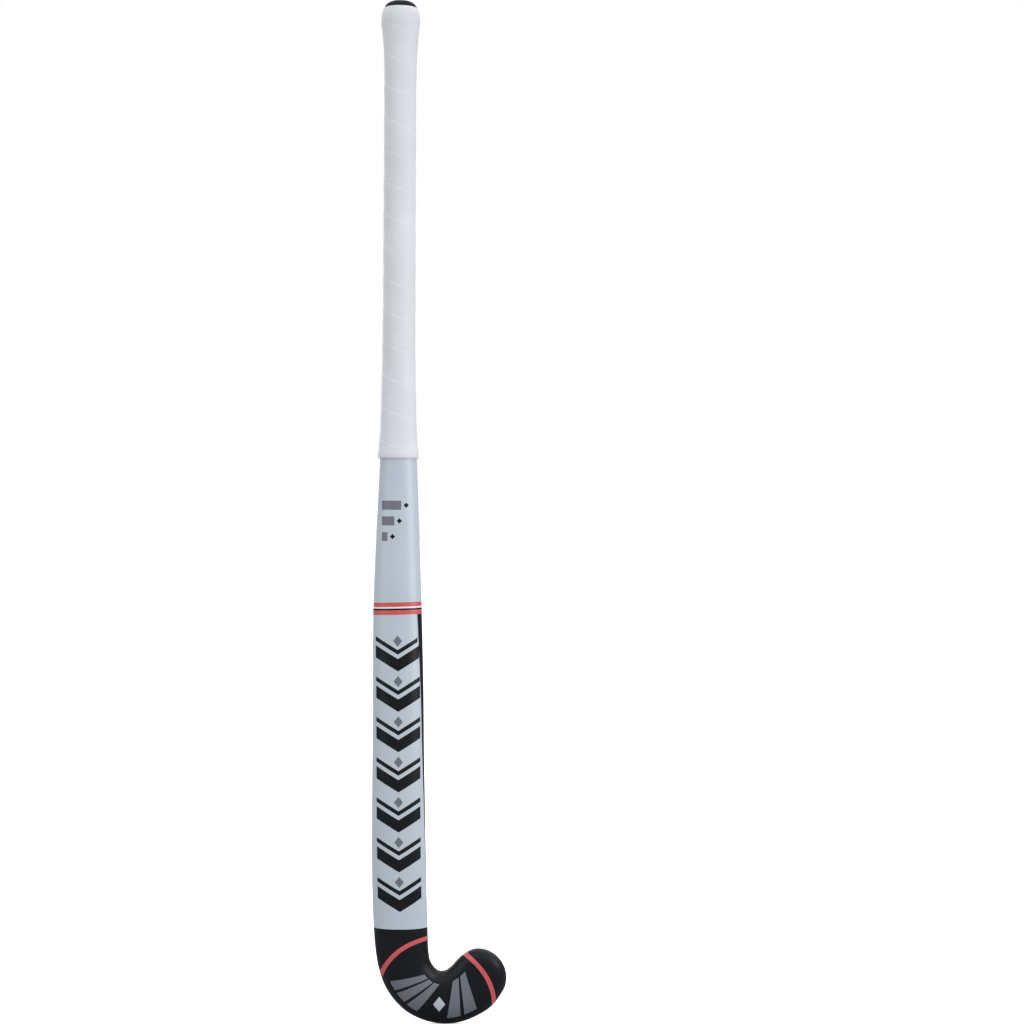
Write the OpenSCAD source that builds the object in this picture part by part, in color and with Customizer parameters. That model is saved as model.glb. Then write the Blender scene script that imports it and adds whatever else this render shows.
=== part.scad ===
// Field hockey stick: a two-part moulded composite shell over foam cores, with a wrapped handle.
// Lengths are in millimetres. The shaft runs along Z with the hook at the bottom, the hook's toe
// points along +X, the flat playing side looks along +Y and the rounded back along -Y.
// The origin is the middle of the hand grip. Heights in the tables are measured up from the
// lowest point of the hook, and place() moves every finished point into the part's own frame.

/* [Stick] */
// Overall length from the bottom of the hook to the top of the cap
stick_l = 927; // [890:1:965]
// Deepest point of the bow between the playing side and a straight edge
bow_depth = 18; // [8:1:24]
// Height of the deepest point of the bow above the bottom of the hook
bow_z = 300; // [220:5:340]
// Height of the hand grip's middle, which is the origin
grip_z = 720; // [650:5:760]

/* [Shaft] */
// Width of the bare handle where it is slimmest
handle_w = 24.8; // [23:0.1:26]
// Width of the shaft at the bow
shaft_w = 45.6; // [42:0.1:48]
// Width of the shaft just above the hook
neck_w = 48.8; // [46:0.1:50]
// Height of the flat face above the widest line, in the hook
face_h = 6; // [5:0.1:7]
// Depth of the rounded back below the widest line, in the shaft
back_d = 14.2; // [12:0.1:15]

/* [Laminate] */
// Wall thickness of the back laminate
back_wall = 2.4; // [1.6:0.1:3]
// Wall thickness of the face laminate
face_wall = 2.8; // [2:0.1:3.4]
// Thickness of the web between the two shaft cores
web_t = 1.6; // [1:0.1:2.5]
// Gap left round each foam core for its adhesive film
glue = 0.15; // [0.1:0.05:0.3]

/* [Handle] */
// Lower end of the finishing collar
collar_z = 512; // [505:1:520]
// Height of the finishing collar
collar_h = 12; // [8:1:16]
// Lower end of the cushion layer under the grip tape
underlay_z = 548; // [535:1:570]
// Height of the skirt of the butt cap below the end of the handle
skirt_h = 21; // [16:1:26]
// Height of the dome of the butt cap above the end of the handle
dome_h = 10; // [6:1:12]
// Length of the plug inside the handle
plug_l = 68; // [50:1:80]

/* [Graphic films] */
// Thickness of the printed films on the laminate
film_t = 0.2; // [0.15:0.05:0.3]
// Upper edge of the four-ring band
band_z = 384; // [375:1:390]
// Heights of the four rings, from the top one down
band_h = [3.9, 1.5, 1.5, 4.1];
// Lower edge of the pale film on the back
panel_z = 90; // [78:1:94]
// Height of the specification label on the playing side
label_h = 104; // [90:1:110]
// Lower edge of the specification label
label_z = 394; // [390:1:400]
// How far the specification label reaches from the middle, towards the toe and towards the heel
label_reach = [15.6, 12.4]; // [8:0.1:16]

/* [Hidden] */

// Height of the straight hook, below which the bow is a plain slope
hook_z = 100;
// Slope of the hook, which the bow carries on from without a kink
hook_slope = 2 * bow_depth / (hook_z + bow_z);
// Top of the laminate, which the butt cap closes
handle_top = stick_l - dome_h;
skirt_z = handle_top - skirt_h;
core_top = handle_top - plug_l;
// Rim of the grip round the dome of the cap
grip_top = handle_top + 2.5;
// Lower end of the two shaft cores, and the gap between them and the foam in the hook
core_bottom = 102;
core_gap = 1;
band_end = band_z - band_h[0] - band_h[1] - band_h[2] - band_h[3];
// Run of the face's rounded corners in the hook and toe, and the least that an inset leaves of one
corner = 6;
least_run = 0.3;

// The shaft from top to bottom: height, half width, shift towards the toe,
// height of the flat side, depth of the round side, and run of the face's rounded corners.
SHAFT = [
    [handle_top, handle_w / 2 + 1.6, 0, 13, 14.6, 11.2],
    [handle_top - 22, handle_w / 2 + 0.8, 0, 12.3, 13.8, 10.8],
    [handle_top - 47, handle_w / 2 + 0.1, 0, 11.8, 13.3, 10.4],
    [handle_top - 117, handle_w / 2, 0, 11.7, 13.2, 10.2],
    [700, handle_w / 2 + 0.2, 0, 11.8, 13.3, 10.2],
    [650, handle_w / 2 + 0.5, 0, 11.8, 13.4, 10.4],
    [610, handle_w / 2 + 0.9, 0, 11.6, 13.5, 10.6],
    [573, handle_w / 2 + 1.75, 0, 11.2, 13.7, 10.8],
    [540, handle_w / 2 + 2.9, 0, 10.7, 13.9, 10.6],
    [512, handle_w / 2 + 4.3, 0, 10.2, 14, 10.2],
    [465, shaft_w / 2 - 4.2, 0, 9.4, back_d, 9.6],
    [428, shaft_w / 2 - 2.6, 0, 8.8, back_d, 9],
    [392, shaft_w / 2 - 1.4, 0.1, 8.3, back_d, 8.4],
    [356, shaft_w / 2 - 0.5, 0.5, 7.9, back_d, 8],
    [302, shaft_w / 2, 1.4, 7.4, back_d, 7.4],
    [247, neck_w / 2 - 1.25, 1.9, 6.9, back_d, 7],
    [193, neck_w / 2 - 0.5, 2.4, 6.4, back_d, 6.6],
    [139, neck_w / 2, 3.3, face_h, back_d, 6.2],
    [hook_z, neck_w / 2, 4.5, face_h, back_d, 6],
    [75, neck_w / 2 - 0.25, 5.7, face_h, back_d, 6]
];

// The hook from the neck round to the start of the toe: outer edge [x, z], inner edge [x, z]
// and depth of the round side. The inner edges follow the crook.
HOOK = [
    [[-18.3, 75], [29.7, 75], 14.2],
    [[-16, 58], [30.9, 62.5], 14.2],
    [[-11.7, 42], [32.4, 57.2], 14.1],
    [[-6.3, 30.6], [34.7, 53.4], 14],
    [[2, 19.5], [37.1, 50.8], 13.9],
    [[13, 10], [39.4, 49.3], 13.8],
    [[28.6, 2.8], [42, 48.8], 13.6],
    [[45.7, 0], [45.6, 49.5], 13.4],
    [[62.1, 2.1], [49.4, 52], 13.2],
    [[77.2, 8.5], [53, 55.5], 13],
    [[88.5, 16.5], [56.6, 59.6], 12.8],
    [[96.8, 27.8], [60.3, 63.1], 12.6]
];

// The toe closes as half an ellipse past the last pair of edges, as far as this point
toe_tip = [92.5, 61.9];
toe_base = (HOOK[11][0] + HOOK[11][1]) / 2;
toe_half = (HOOK[11][1] - HOOK[11][0]) / 2;
toe_run = toe_tip - toe_base;
// Roundness of the back in section, and along the toe, where 2 is an ellipse
back_power = 2.15;
toe_power = 3;
// How much faster than an ellipse the toe narrows at first, as the hook's edges close in there
toe_taper = 0.08;
// Thickness of the solid end of the toe
toe_wall = 4;
// Roundness of the cap's dome, where 1 is an ellipse and less is squarer
dome_power = 0.8;
// How far the dome draws in for each millimetre above the handle's end, at the grip's rim
dome_slope = 0.08;

// Heights of the shaft's rings
LEVELS = [handle_top, handle_top - 10, skirt_z, skirt_z - 16, skirt_z - 31, core_top, 825, 800, 770,
    740, 700, 665, 635, 610, 590, 572, underlay_z, collar_z + collar_h, collar_z, 497, 480, 462, 444,
    426, 408, band_z, band_end, 350, 326, 302, 275, 247, 220, 193, 166, 139, 120, core_bottom,
    panel_z];
// Steps between two rows of HOOK, and places of the toe's rings along its run
hook_steps = 2;
TOE_STEPS = [0.17, 0.34, 0.5, 0.63, 0.74, 0.83, 0.9, 0.95, 0.98, 0.995];
// Points over the flat side and round the back, both with the two edge points
face_points = 8;
back_points = 16;

// Thickness over the bare handle of what lies under the grip tape: cushion, then cap skirt
UNDER = [[underlay_z, 0.3], [600, 0.6], [skirt_z - 16, 0.8], [skirt_z, 1], [skirt_z + 3, 1.6],
    [skirt_z + 12, 2.2], [handle_top, 1.2]];
// Thickness over the bare handle of the wrapped grip
GRIP = [[collar_z + 1, 0.8], [collar_z + collar_h, 1.3], [529, 1.4], [537, 1.25], [560, 1.35], [610, 1.65],
    [650, 1.9], [700, 2], [845, 2], [863, 2.25], [881, 2.5], [skirt_z + 3, 3.3], [skirt_z + 12, 3.95],
    [skirt_z + 18, 3.3], [handle_top + 0.5, 2.3], [grip_top, 1.4]];
// Thickness over the bare handle of the collar on the lower end of the grip
COLLAR = [[collar_z, 1.2], [collar_z + 1, 1.65], [collar_z + 2.5, 1.85], [collar_z + 5, 1.85],
    [collar_z + 9, 1.6], [collar_z + collar_h, 1.4]];

// ---- Interpolation ----

// Column c of a table at height z, joined by smooth cubics through its rows
function slope(t, i, c) =
    let (a = max(i - 1, 0), b = min(i + 1, len(t) - 1))
    (t[b][c] - t[a][c]) / (t[b][0] - t[a][0]);
function row_of(t, z, i = 0) =
    i >= len(t) - 2 || (z - t[i + 1][0]) * (t[i][0] - t[i + 1][0]) >= 0 ? i : row_of(t, z, i + 1);
function smooth(t, z, c) =
    let (i = row_of(t, z), d = t[i + 1][0] - t[i][0], s = min(max((z - t[i][0]) / d, 0), 1))
    (2 * s ^ 3 - 3 * s ^ 2 + 1) * t[i][c] + (s ^ 3 - 2 * s ^ 2 + s) * d * slope(t, i, c)
    + (3 * s ^ 2 - 2 * s ^ 3) * t[i + 1][c] + (s ^ 3 - s ^ 2) * d * slope(t, i + 1, c);

// Column c of the hook's rows between rows i and i + 1, as a Catmull-Rom curve
function hook_at(rows, i, s, c) =
    let (a = rows[i][c], b = rows[i + 1][c])
    let (p = rows[max(i - 1, 0)][c], n = rows[min(i + 2, len(rows) - 1)][c])
    a + s * (b - p) / 2 + s ^ 2 * (2 * p - 5 * a + 4 * b - n) / 2 + s ^ 3 * (3 * a - p - 3 * b + n) / 2;

// ---- Ribs ----
// A rib is one slice across the stick: centre [x, z], half vector [x, z] towards the toe side,
// height of the flat side, depth of the round side, run of the corners and share of the
// hollow's depth that is left there, which falls to nothing in the solid toe.

function shaft_rib(z) = [[smooth(SHAFT, z, 2), z], [smooth(SHAFT, z, 1), 0], smooth(SHAFT, z, 3),
    smooth(SHAFT, z, 4), smooth(SHAFT, z, 5), 1];

// The hook's rows with one more at each end, so that its curves run on into shaft and toe
function neck_row(z) =
    let (h = smooth(SHAFT, z, 1), x = smooth(SHAFT, z, 2))
    [[x - h, z], [x + h, z], smooth(SHAFT, z, 4)];
function toe_share(s) = sqrt(1 - s ^ 2) - toe_taper * s * (1 - s);
function toe_edge(side, s) = toe_base + side * toe_half * toe_share(s) + toe_run * s;
HOOK_ROWS = concat([neck_row(92)], HOOK, [[toe_edge(-1, 0.4), toe_edge(1, 0.4), 12.4]]);

function hook_rib(i, s) =
    let (o = hook_at(HOOK_ROWS, i, s, 0), n = hook_at(HOOK_ROWS, i, s, 1), b = hook_at(HOOK_ROWS, i, s, 2))
    [(o + n) / 2, (n - o) / 2, face_h, b, corner, 1];

// The flat side stays flat up to its rounded corner, and the round side closes more gently
function toe_rib(s) =
    let (l = norm(toe_run), left = l * (1 - s), h = norm(toe_half) * toe_share(s))
    let (flat = (norm(toe_half) - corner) * sqrt(max(0, 1 - (s * l / (l - corner)) ^ 2)))
    [toe_base + toe_run * s, toe_half * toe_share(s),
        face_h * (left >= corner ? 1 : sqrt(1 - (1 - left / corner) ^ 2)),
        HOOK[11][2] * (1 - s ^ toe_power) ^ (1 / toe_power), h - flat,
        sqrt(max(0, 1 - (s * l / (l - toe_wall)) ^ 2))];

SHAFT_RIBS = [for (z = LEVELS) shaft_rib(z)];
HOOK_RIBS = [for (i = [1:len(HOOK) - 1], k = [0:hook_steps - 1]) hook_rib(i, k / hook_steps)];
TOE_RIBS = [for (s = concat([0], TOE_STEPS)) toe_rib(s)];
RIBS = concat(SHAFT_RIBS, HOOK_RIBS, TOE_RIBS);

// A rib moved in by w (or out, for a negative w)
function inset(r, w) =
    let (h = norm(r[1]), g = max(h - w, h / 4), left = w > 0 ? r[5] : 1)
    let (run = min(max(r[4] - w, least_run), g * 0.95))
    [r[0], r[1] * g / h, max(0, r[2] - w) * left, max(0, r[3] - w) * left, run, r[5]];

// ---- Points ----

// How far the bow carries the stick towards its back at height z
function bow(z) =
    z < hook_z ? hook_slope * z
    : z < bow_z ? bow_depth - hook_slope * (bow_z - z) ^ 2 / (2 * (bow_z - hook_z))
    : bow_depth * (1 - ((z - bow_z) / (stick_l - bow_z)) ^ 2);
function place(x, y, z) = [x, y - bow(z) + bow(grip_z), z - grip_z];
// A point of rib r, at u along its half vector in millimetres and y above its widest line
function on_rib(r, u, y) = let (d = r[1] / norm(r[1])) place(r[0][0] + u * d[0], y, r[0][1] + u * d[1]);

// Over the flat side from the toe-side edge to the heel-side edge
function face_line(r) =
    let (h = norm(r[1]), half = face_points / 2 - 1)
    [for (k = [0:face_points - 1])
        let (side = k <= half ? 1 : -1, a = 90 * (k <= half ? k : face_points - 1 - k) / half)
        on_rib(r, side * (h - r[4] + r[4] * cos(a)), r[2] * sin(a))];

// Round the back from the heel-side edge to the toe-side edge
function back_line(r) =
    [for (k = [0:back_points - 1])
        let (a = 180 * k / (back_points - 1), c = cos(a), p = 2 / back_power)
        on_rib(r, -sign(c) * norm(r[1]) * abs(c) ^ p, -r[3] * abs(sin(a)) ^ p)];

function flip(v) = [for (i = [len(v) - 1:-1:0]) v[i]];
function inner(v) = [for (i = [1:len(v) - 2]) v[i]];
// The whole way round a rib
function ring(r) = concat(face_line(r), inner(back_line(r)));
function back_shell(r, w) = concat(back_line(r), flip(back_line(inset(r, w))));
function face_shell(r, w) = concat(face_line(r), flip(face_line(inset(r, w))));
// Ribs of the shaft between two heights, from the top down
function ribs_between(top, bottom) = [for (z = LEVELS) if (z <= top && z >= bottom) shaft_rib(z)];

// ---- Solids ----

// A closed surface over rings that run down the stick, each with its points in the same order.
// A looped surface joins its last ring to its first, and the others are closed at both ends.
module loft(rings, looped = false) {
    n = len(rings[0]);
    m = len(rings);
    end = (m - 1) * n;
    sides = [for (i = [0:m - (looped ? 1 : 2)], k = [0:n - 1])
        let (a = i * n, b = ((i + 1) % m) * n, l = (k + 1) % n)
        each [[a + k, a + l, b + l], [a + k, b + l, b + k]]];
    ends = [for (k = [0:n / 2 - 2])
        let (p = k, q = k + 1, r = n - 2 - k, s = n - 1 - k)
        each [[p, s, r], [p, r, q], [end + p, end + q, end + r], [end + p, end + r, end + s]]];
    polyhedron([for (r = rings) each r], looped ? sides : concat(sides, ends), convexity = 10);
}

// A layer round the handle between two tables of thickness, at the given heights from the top down
module sleeve(heights, over, under) {
    outside = [for (z = heights) ring(inset(shaft_rib(z), -over(z)))];
    inside = [for (z = flip(heights)) ring(inset(shaft_rib(z), -under(z)))];
    loft(concat(outside, inside), looped = true);
}

module back_laminate() {
    color([0.76, 0.79, 0.83])
        loft([for (r = RIBS) back_shell(r, back_wall)]);
}

module face_laminate() {
    color([0.12, 0.13, 0.15])
        loft([for (r = RIBS) face_shell(r, face_wall)]);
}

function web_ring(z) =
    let (r = shaft_rib(z), x = r[0][0], t = web_t / 2)
    let (f = r[2] - face_wall - glue, b = r[3] - back_wall - glue)
    [place(x + t, f, z), place(x - t, f, z), place(x - t, -b, z), place(x + t, -b, z)];

module centre_web() {
    color([0.2, 0.2, 0.22])
        loft([for (r = ribs_between(core_top, core_bottom)) web_ring(r[0][1])]);
}

// One side of the hollow, between the web and the shell
core_points = 7;
function core_ring(z, side) =
    let (r = shaft_rib(z), t = web_t / 2 + glue, h = norm(r[1]) - back_wall - glue - t)
    let (f = r[2] - face_wall - glue, b = r[3] - back_wall - glue)
    let (top = [for (k = [0:core_points]) let (a = 90 * k / core_points) [t + h * cos(a), f * sin(a) ^ 0.4]])
    let (low = [for (k = [0:core_points]) let (a = 90 * k / (core_points + 1)) [t + h * sin(a), -b * cos(a)]])
    let (line = concat(top, low))
    [for (p = side > 0 ? line : flip(line)) place(r[0][0] + side * p[0], p[1], z)];

module shaft_core_heel() {
    color([0.9, 0.86, 0.7])
        loft([for (r = ribs_between(core_top, core_bottom)) core_ring(r[0][1], -1)]);
}

module shaft_core_toe() {
    color([0.9, 0.86, 0.7])
        loft([for (r = ribs_between(core_top, core_bottom)) core_ring(r[0][1], 1)]);
}

// Foam in the hook, as far as the hollow goes into the toe
module head_core() {
    w = max(back_wall, face_wall) + glue;
    neck = [shaft_rib(core_bottom - core_gap), shaft_rib(panel_z)];
    hollow = [for (r = concat(neck, HOOK_RIBS, TOE_RIBS)) if (r[5] > 0.5) r];
    color([0.85, 0.8, 0.62])
        loft([for (r = hollow) ring(inset(r, w))]);
}

module handle_plug() {
    w = max(back_wall, face_wall) + glue;
    color([0.25, 0.25, 0.27])
        loft([for (r = ribs_between(handle_top, core_top)) ring(inset(r, w))]);
}

// A broad dome on a skirt round the end of the handle; the grip tape covers the skirt up to its rim
module butt_cap() {
    base = inset(shaft_rib(handle_top), -smooth(UNDER, handle_top, 1));
    dome = [for (a = [86, 74, 62, 50, 38, 26, 14, 0])
        let (k = cos(a) ^ dome_power)
        [[base[0][0], handle_top + dome_h * sin(a) ^ dome_power], base[1] * k, base[2] * k, base[3] * k,
            base[4] * k, 1]];
    skirt = [for (z = [handle_top - 5, handle_top - 9, handle_top - 14, skirt_z + 3, skirt_z])
        inset(shaft_rib(z), -smooth(UNDER, z, 1))];
    socket = [for (z = [skirt_z, handle_top - 10, handle_top]) shaft_rib(z)];
    color([0.1, 0.1, 0.11])
        loft([for (r = concat(dome, skirt, socket)) ring(r)]);
}

module grip_underlay() {
    heights = [for (z = LEVELS) if (z <= skirt_z && z >= underlay_z) z];
    color([0.35, 0.36, 0.38])
        sleeve(heights, function (z) smooth(UNDER, z, 1), function (z) 0);
}

module grip_tape() {
    knob = [grip_top, handle_top + 0.5, handle_top - 3, handle_top - 5, handle_top - 9, handle_top - 14,
        skirt_z + 3];
    heights = concat(knob, [for (z = LEVELS) if (z <= skirt_z && z > collar_z) z], [collar_z + 1]);
    // Inside, the tape follows the dome, then the skirt and cushion, and lastly the bare handle
    dome = function (z) smooth(UNDER, handle_top, 1) - (z - handle_top) * dome_slope;
    under = function (z) z > handle_top ? dome(z) : z >= underlay_z ? smooth(UNDER, z, 1) : 0;
    color([0.88, 0.89, 0.9])
        sleeve(heights, function (z) smooth(GRIP, z, 1), under);
}

module finishing_collar() {
    heights = [for (k = [len(COLLAR) - 1:-1:0]) COLLAR[k][0]];
    under = function (z) z > collar_z ? smooth(GRIP, z, 1) : 0;
    color([0.82, 0.83, 0.85])
        sleeve(heights, function (z) smooth(COLLAR, z, 1), under);
}

// A film on the back between two heights, from edge to edge
module back_film(top, bottom) {
    loft([for (r = ribs_between(top, bottom)) back_shell(inset(r, -film_t), film_t)]);
}

module upper_back_film() {
    color([0.8, 0.83, 0.87])
        back_film(collar_z, band_z);
}

module lower_back_film() {
    color([0.8, 0.83, 0.87])
        back_film(band_end, panel_z);
}

// One of the four rings of the band, counted from the top
module band_ring(i) {
    top = band_z - (i == 0 ? 0 : [for (k = 0, s = band_h[0]; k < i; k = k + 1, s = s + band_h[k]) s][i - 1]);
    sleeve([top, top - band_h[i]], function (z) film_t, function (z) 0);
}

module band_ring_1() {
    color([0.78, 0.27, 0.29])
        band_ring(0);
}

module band_ring_2() {
    color([0.93, 0.93, 0.93])
        band_ring(1);
}

module band_ring_3() {
    color([0.1, 0.1, 0.11])
        band_ring(2);
}

module band_ring_4() {
    color([0.78, 0.27, 0.29])
        band_ring(3);
}

// A label on the playing side that bends over the rounded corners of the face
label_points = 8;
function label_line(r, w) =
    let (flat = norm(r[1]) - r[4])
    [for (k = [0:label_points])
        let (u = label_reach[0] - (label_reach[0] + label_reach[1]) * k / label_points)
        let (past = max(0, abs(u) - flat) / (r[4] + w))
        on_rib(r, u, (r[2] + w) * sqrt(1 - past ^ 2))];

module spec_label() {
    steps = 6;
    ribs = [for (k = [0:steps]) shaft_rib(label_z + label_h * (1 - k / steps))];
    color([0.2, 0.21, 0.23])
        loft([for (r = ribs) concat(label_line(r, film_t), flip(label_line(r, 0)))]);
}

back_laminate();
face_laminate();
centre_web();
shaft_core_heel();
shaft_core_toe();
head_core();
handle_plug();
butt_cap();
grip_underlay();
grip_tape();
finishing_collar();
upper_back_film();
lower_back_film();
band_ring_1();
band_ring_2();
band_ring_3();
band_ring_4();
spec_label();
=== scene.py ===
"""Looks of the field hockey stick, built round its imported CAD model.

The stick's own shape is a run of ribs, slices across it from the butt cap down the shaft, round
the hook and out to the toe. The tables and rules for them are those of the CAD source, so every
smooth piece made here lies where its CAD solid lies. Tables are in millimetres above the lowest
point of the hook; place() turns them into metres in the frame of the part.
"""

import math

import bmesh
import bpy
import numpy as np
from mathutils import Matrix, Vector
from mathutils.bvhtree import BVHTree


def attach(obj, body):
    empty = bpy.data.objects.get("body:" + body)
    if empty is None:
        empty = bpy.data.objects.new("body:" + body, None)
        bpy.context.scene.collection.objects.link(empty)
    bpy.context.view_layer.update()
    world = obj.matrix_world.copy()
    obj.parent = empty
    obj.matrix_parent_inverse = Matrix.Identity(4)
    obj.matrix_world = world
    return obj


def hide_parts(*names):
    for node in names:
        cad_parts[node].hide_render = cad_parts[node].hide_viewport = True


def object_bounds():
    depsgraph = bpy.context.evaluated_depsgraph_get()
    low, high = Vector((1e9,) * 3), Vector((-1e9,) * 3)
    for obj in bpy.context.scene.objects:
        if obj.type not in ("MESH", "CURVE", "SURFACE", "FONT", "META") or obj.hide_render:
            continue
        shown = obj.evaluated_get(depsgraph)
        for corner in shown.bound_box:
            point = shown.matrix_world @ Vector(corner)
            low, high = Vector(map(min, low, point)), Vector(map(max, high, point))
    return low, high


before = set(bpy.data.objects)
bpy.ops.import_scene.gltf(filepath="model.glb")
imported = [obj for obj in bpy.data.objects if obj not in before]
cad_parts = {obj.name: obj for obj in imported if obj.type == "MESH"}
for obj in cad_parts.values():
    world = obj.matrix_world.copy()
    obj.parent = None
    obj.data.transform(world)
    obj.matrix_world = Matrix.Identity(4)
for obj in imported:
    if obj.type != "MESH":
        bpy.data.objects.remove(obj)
CAD_LOW, CAD_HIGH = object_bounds()

# ---------------------------------------------------------------- shape of the stick (mm)

STICK_L = 927
BOW_DEPTH = 18
BOW_Z = 300
GRIP_Z = 720
HANDLE_W = 24.8
SHAFT_W = 45.6
NECK_W = 48.8
FACE_H = 6
BACK_D = 14.2
HOOK_Z = 100
HOOK_SLOPE = 2 * BOW_DEPTH / (HOOK_Z + BOW_Z)
DOME_H = 10
HANDLE_TOP = STICK_L - DOME_H
SKIRT_Z = HANDLE_TOP - 21
GRIP_TOP = HANDLE_TOP + 2.5
COLLAR_Z = 512
COLLAR_TOP = COLLAR_Z + 12
CORNER = 6
BACK_WALL = 2.4
FACE_WALL = 2.8
BACK_POWER = 2.15
TOE_POWER = 3
TOE_TAPER = 0.08
DOME_POWER = 0.8

# Height, half width, shift to the toe side, flat side's height, round side's depth, corner run
SHAFT = [
    (HANDLE_TOP, HANDLE_W / 2 + 1.6, 0, 13, 14.6, 11.2),
    (HANDLE_TOP - 22, HANDLE_W / 2 + 0.8, 0, 12.3, 13.8, 10.8),
    (HANDLE_TOP - 47, HANDLE_W / 2 + 0.1, 0, 11.8, 13.3, 10.4),
    (HANDLE_TOP - 117, HANDLE_W / 2, 0, 11.7, 13.2, 10.2),
    (700, HANDLE_W / 2 + 0.2, 0, 11.8, 13.3, 10.2),
    (650, HANDLE_W / 2 + 0.5, 0, 11.8, 13.4, 10.4),
    (610, HANDLE_W / 2 + 0.9, 0, 11.6, 13.5, 10.6),
    (573, HANDLE_W / 2 + 1.75, 0, 11.2, 13.7, 10.8),
    (540, HANDLE_W / 2 + 2.9, 0, 10.7, 13.9, 10.6),
    (512, HANDLE_W / 2 + 4.3, 0, 10.2, 14, 10.2),
    (465, SHAFT_W / 2 - 4.2, 0, 9.4, BACK_D, 9.6),
    (428, SHAFT_W / 2 - 2.6, 0, 8.8, BACK_D, 9),
    (392, SHAFT_W / 2 - 1.4, 0.1, 8.3, BACK_D, 8.4),
    (356, SHAFT_W / 2 - 0.5, 0.5, 7.9, BACK_D, 8),
    (302, SHAFT_W / 2, 1.4, 7.4, BACK_D, 7.4),
    (247, NECK_W / 2 - 1.25, 1.9, 6.9, BACK_D, 7),
    (193, NECK_W / 2 - 0.5, 2.4, 6.4, BACK_D, 6.6),
    (139, NECK_W / 2, 3.3, FACE_H, BACK_D, 6.2),
    (HOOK_Z, NECK_W / 2, 4.5, FACE_H, BACK_D, 6),
    (75, NECK_W / 2 - 0.25, 5.7, FACE_H, BACK_D, 6),
]

# Outer edge, inner edge and round side's depth, from the neck round to the start of the toe
HOOK = [
    ((-18.3, 75), (29.7, 75), 14.2),
    ((-16, 58), (30.9, 62.5), 14.2),
    ((-11.7, 42), (32.4, 57.2), 14.1),
    ((-6.3, 30.6), (34.7, 53.4), 14),
    ((2, 19.5), (37.1, 50.8), 13.9),
    ((13, 10), (39.4, 49.3), 13.8),
    ((28.6, 2.8), (42, 48.8), 13.6),
    ((45.7, 0), (45.6, 49.5), 13.4),
    ((62.1, 2.1), (49.4, 52), 13.2),
    ((77.2, 8.5), (53, 55.5), 13),
    ((88.5, 16.5), (56.6, 59.6), 12.8),
    ((96.8, 27.8), (60.3, 63.1), 12.6),
]
TOE_TIP = np.array((92.5, 61.9))
TOE_BASE = (np.array(HOOK[-1][0]) + np.array(HOOK[-1][1])) / 2
TOE_HALF = (np.array(HOOK[-1][1]) - np.array(HOOK[-1][0])) / 2
TOE_RUN = TOE_TIP - TOE_BASE

# Thickness over the bare handle, by height: the cap's skirt, the wrapped grip and the collar
SKIRT = [(SKIRT_Z, 1), (SKIRT_Z + 3, 1.6), (SKIRT_Z + 12, 2.2), (HANDLE_TOP, 1.2)]
GRIP = [
    (COLLAR_Z + 1, 0.8),
    (COLLAR_TOP, 1.3),
    (529, 1.4),
    (537, 1.25),
    (560, 1.35),
    (610, 1.65),
    (650, 1.9),
    (700, 2),
    (845, 2),
    (863, 2.25),
    (881, 2.5),
    (SKIRT_Z + 3, 3.3),
    (SKIRT_Z + 12, 3.95),
    (SKIRT_Z + 18, 3.3),
    (HANDLE_TOP + 0.5, 2.3),
    (GRIP_TOP, 1.4),
]
COLLAR = [
    (COLLAR_Z, 1.2),
    (COLLAR_Z + 1, 1.65),
    (COLLAR_Z + 2.5, 1.85),
    (COLLAR_Z + 5, 1.85),
    (COLLAR_Z + 9, 1.6),
    (COLLAR_TOP, 1.4),
]

BAND_Z = 384
BAND_HEIGHTS = (3.9, 1.5, 1.5, 4.1)
BAND_MIDDLE = BAND_Z - sum(BAND_HEIGHTS) / 2
PANEL_Z = 90
LABEL_Z = 394
LABEL_H = 104
LABEL_REACH = (15.6, 12.4)


def bow(z):
    """How far the bow carries the stick towards its back at height z."""
    z = np.asarray(z, float)
    curve = BOW_DEPTH - HOOK_SLOPE * (BOW_Z - z) ** 2 / (2 * (BOW_Z - HOOK_Z))
    upper = BOW_DEPTH * (1 - ((z - BOW_Z) / (STICK_L - BOW_Z)) ** 2)
    return np.where(z < HOOK_Z, HOOK_SLOPE * z, np.where(z < BOW_Z, curve, upper))


def place(x, y, z):
    """A point of the tables, in metres in the part's frame."""
    return np.stack([x, y - bow(z) + bow(GRIP_Z), z - GRIP_Z], axis=-1) * 0.001


def smooth(table, z, column):
    """A column of a table at heights z, joined by smooth cubics through its rows."""
    t = np.array(sorted(table), float)
    n = np.arange(len(t))
    low, high = np.maximum(n - 1, 0), np.minimum(n + 1, len(t) - 1)
    slope = (t[high, column] - t[low, column]) / (t[high, 0] - t[low, 0])
    z = np.clip(z, t[0, 0], t[-1, 0])
    i = np.clip(np.searchsorted(t[:, 0], z, side="right") - 1, 0, len(t) - 2)
    d = t[i + 1, 0] - t[i, 0]
    s = (z - t[i, 0]) / d
    return (
        (2 * s**3 - 3 * s**2 + 1) * t[i, column]
        + (s**3 - 2 * s**2 + s) * d * slope[i]
        + (3 * s**2 - 2 * s**3) * t[i + 1, column]
        + (s**3 - s**2) * d * slope[i + 1]
    )


# ---------------------------------------------------------------- ribs
# A rib is one row: centre x and z, half vector x and z towards the toe side, height of the flat
# side, depth of the round side and run of the flat side's corners.


def shaft_ribs(z):
    """Ribs of the shaft and handle at heights z."""
    z = np.asarray(z, float)
    column = [smooth(SHAFT, z, c) for c in range(6)]
    return np.stack([column[2], z, column[1], 0 * z, column[3], column[4], column[5]], -1)


def toe_share(s):
    """How much of its width the toe keeps at a share s of its run."""
    return math.sqrt(1 - s**2) - TOE_TAPER * s * (1 - s)


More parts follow.
